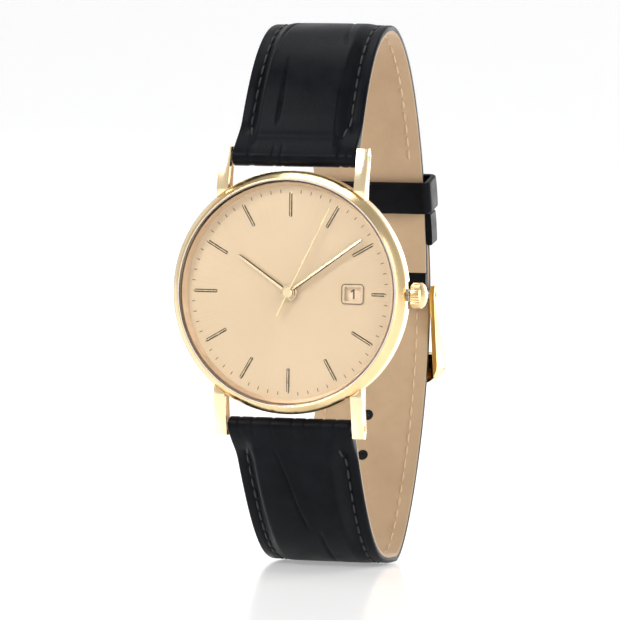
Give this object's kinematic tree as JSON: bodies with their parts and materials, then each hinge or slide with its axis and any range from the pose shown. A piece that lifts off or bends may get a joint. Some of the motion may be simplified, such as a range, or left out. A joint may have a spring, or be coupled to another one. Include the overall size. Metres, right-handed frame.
{
  "type": "wristwatch",
  "caption": "Slim round dress watch with baton hands, a date window and a side crown, on a padded stitched leather strap that is buckled into a loop by a hinged pin buckle.",
  "frame": {"origin": "centre of the case back's flat outer face", "axes": "+Y out of the case back towards the wrist (the dial faces -Y), +Z towards 12 o'clock along the watch's longest extent, +X towards the crown at 3 o'clock"},
  "size_m": [0.0365, 0.0485, 0.0772],
  "materials": {
    "gold": "polished gold-tone plate",
    "rehaut": "satin gold-tone plate",
    "sapphire": "polished clear",
    "gasket": "moulded translucent ring",
    "rubber": "moulded",
    "steel": "turned",
    "brass": "cut and burnished",
    "plate": "matt plated",
    "dial": "fine sunray cream lacquer",
    "print": "printed",
    "date": "printed disc",
    "white_plastic": "moulded",
    "copper": "enamelled wire winding",
    "board": "laminate",
    "leather": "embossed, semi-gloss",
    "lining": "nubuck",
    "filler": "split leather board",
    "thread": "waxed thread"
  },
  "bodies": {
    "case": {"case_middle": "gold", "bezel": "gold", "crystal": "sapphire", "crystal_gasket": "gasket", "rehaut": "rehaut", "case_back": "gold", "back_gasket": "rubber", "crown_tube": "steel", "dial": "dial", "hour_indices": "gold", "minute_track": "print", "date_frame": "gold", "stator": "steel", "coil": "copper", "circuit_board": "board", "quartz_can": "steel", "battery": "steel", "battery_clamp": "steel", "main_plate": "plate", "train_bridge": "plate", "bridge_screws": "steel", "movement_ring": "white_plastic", "lug_bar_tubes": "steel", "lug_bar_pins": "steel"},
    "seconds": {"seconds_wheel": "brass", "seconds_hand": "gold"},
    "intermediate": {"intermediate_wheel": "brass"},
    "rotor": {"rotor": "steel"},
    "third": {"third_wheel": "brass"},
    "centre": {"centre_wheel": "brass"},
    "minutes": {"cannon_pinion": "steel", "minute_hand": "gold"},
    "minute_wheel": {"minute_wheel": "brass"},
    "hours": {"hour_wheel": "brass", "hour_hand": "gold"},
    "setting_wheel": {"setting_wheel": "brass"},
    "date_driver": {"date_wheel": "brass"},
    "date": {"date_ring": "date"},
    "sliding_pinion": {"sliding_pinion": "steel"},
    "crown": {"crown": "gold", "stem": "steel", "crown_gasket": "rubber"},
    "setting_lever": {"setting_lever": "steel"},
    "upper_strap": {"strap12_leather": "leather", "strap12_filler": "filler", "strap12_lining": "lining", "strap12_stitches": "thread", "fixed_keeper": "leather", "heel_bar_tube": "steel", "heel_bar_pins": "steel"},
    "lower_strap": {"strap6_leather": "leather", "strap6_filler": "filler", "strap6_lining": "lining", "strap6_stitches": "thread"},
    "keeper": {"free_keeper": "leather"},
    "buckle": {"buckle_frame": "gold"},
    "tang": {"tang": "gold"}
  },
  "joints": [
    {"name": "seconds_turn", "type": "hinge", "parent": "case", "child": "seconds", "pos_m": [0, -0.003, 0], "axis": [0, 1, 0], "continuous": true},
    {"name": "intermediate_turn", "type": "hinge", "parent": "case", "child": "intermediate", "pos_m": [0.00315, -0.003, 0], "axis": [0, 1, 0], "continuous": true},
    {"name": "rotor_turn", "type": "hinge", "parent": "case", "child": "rotor", "pos_m": [0.00447, -0.003, -0.00229], "axis": [0, 1, 0], "continuous": true},
    {"name": "third_turn", "type": "hinge", "parent": "case", "child": "third", "pos_m": [-0.0017, -0.003, 0.00294], "axis": [0, 1, 0], "continuous": true},
    {"name": "centre_turn", "type": "hinge", "parent": "case", "child": "centre", "pos_m": [0, -0.003, 0], "axis": [0, 1, 0], "continuous": true},
    {"name": "minutes_turn", "type": "hinge", "parent": "case", "child": "minutes", "pos_m": [0, -0.003, 0], "axis": [0, 1, 0], "continuous": true},
    {"name": "minute_wheel_turn", "type": "hinge", "parent": "case", "child": "minute_wheel", "pos_m": [0.00264, -0.003, 0], "axis": [0, 1, 0], "continuous": true},
    {"name": "hours_turn", "type": "hinge", "parent": "case", "child": "hours", "pos_m": [0, -0.003, 0], "axis": [0, 1, 0], "continuous": true},
    {"name": "setting_wheel_turn", "type": "hinge", "parent": "case", "child": "setting_wheel", "pos_m": [0.00572, -0.003, 0], "axis": [0, 1, 0], "continuous": true},
    {"name": "date_driver_turn", "type": "hinge", "parent": "case", "child": "date_driver", "pos_m": [-0.00241, -0.003, 0.00287], "axis": [0, 1, 0], "continuous": true},
    {"name": "date_turn", "type": "hinge", "parent": "case", "child": "date", "pos_m": [0, -0.003, 0], "axis": [0, 1, 0], "continuous": true},
    {"name": "crown_turn", "type": "hinge", "parent": "case", "child": "sliding_pinion", "pos_m": [0.008, -0.0026, 0], "axis": [1, 0, 0], "continuous": true},
    {"name": "crown_pull", "type": "slide", "parent": "sliding_pinion", "child": "crown", "axis": [1, 0, 0], "range_m": [0, 0.001]},
    {"name": "setting_lever_turn", "type": "hinge", "parent": "case", "child": "setting_lever", "pos_m": [0.01, -0.0021, -0.0032], "axis": [0, 1, 0], "range_deg": [0, 18]},
    {"name": "strap_12_hinge", "type": "hinge", "parent": "case", "child": "upper_strap", "pos_m": [0, -0.0023, 0.0188], "axis": [1, 0, 0], "range_deg": [0, 60]},
    {"name": "strap_6_hinge", "type": "hinge", "parent": "case", "child": "lower_strap", "pos_m": [0, -0.0023, -0.0188], "axis": [-1, 0, 0], "range_deg": [0, 60], "deforming": ["strap6_leather", "strap6_filler", "strap6_lining", "strap6_stitches"]},
    {"name": "keeper_slide", "type": "slide", "parent": "upper_strap", "child": "keeper", "axis": [0, -0.2936, 0.9559], "range_m": [0, 0.003]},
    {"name": "buckle_hinge", "type": "hinge", "parent": "upper_strap", "child": "buckle", "pos_m": [0, 0.03636, -0.001], "axis": [1, 0, 0], "range_deg": [0, 75]},
    {"name": "tang_hinge", "type": "hinge", "parent": "buckle", "child": "tang", "pos_m": [0, 0.03636, -0.001], "axis": [1, 0, 0], "range_deg": [0, 60]}
  ],
  "couplings": [
    {"joint": "intermediate_turn", "follows": "seconds_turn", "ratio": -6},
    {"joint": "rotor_turn", "follows": "seconds_turn", "ratio": 30},
    {"joint": "third_turn", "follows": "seconds_turn", "ratio": -0.13333},
    {"joint": "centre_turn", "follows": "seconds_turn", "ratio": 0.016667},
    {"joint": "minute_wheel_turn", "follows": "minutes_turn", "ratio": -0.33333},
    {"joint": "hours_turn", "follows": "minutes_turn", "ratio": 0.083333},
    {"joint": "setting_wheel_turn", "follows": "minutes_turn", "ratio": 0.6},
    {"joint": "date_driver_turn", "follows": "minutes_turn", "ratio": -0.041667},
    {"joint": "date_turn", "follows": "minutes_turn", "ratio": -0.0013441},
    {"joint": "setting_lever_turn", "follows": "crown_pull", "rad_per_m": 312.5}
  ]
}
